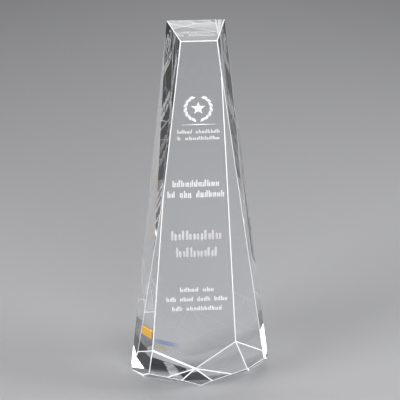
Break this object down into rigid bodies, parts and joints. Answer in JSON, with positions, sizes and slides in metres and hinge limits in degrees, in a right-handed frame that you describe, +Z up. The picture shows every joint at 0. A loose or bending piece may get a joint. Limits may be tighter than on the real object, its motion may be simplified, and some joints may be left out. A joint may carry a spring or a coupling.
{
  "type": "crystal award",
  "caption": "Tapered optical-crystal award standing on a facet-cut foot, with bevelled long edges and sand-carved marks in its front face.",
  "frame": {"origin": "on the ground plane, under the middle of the block's plan outline", "axes": "+Z up along the tower, the carved front face looks towards -Y, +X to the viewer's right"},
  "size_m": [0.0973, 0.0558, 0.254],
  "materials": {
    "optical_crystal": "polished, water clear",
    "frosted_crystal": "sand-carved, matt white"
  },
  "bodies": {
    "root": {"crystal_tower": "optical_crystal", "wreath_left": "frosted_crystal", "wreath_right": "frosted_crystal", "star": "frosted_crystal", "emblem_rule": "frosted_crystal", "caption_row_1": "frosted_crystal", "caption_row_2": "frosted_crystal", "title_row_1": "frosted_crystal", "title_row_2": "frosted_crystal", "name_row_1": "frosted_crystal", "name_row_2": "frosted_crystal", "message_row_1": "frosted_crystal", "message_row_2": "frosted_crystal", "message_row_3": "frosted_crystal"}
  },
  "joints": []
}
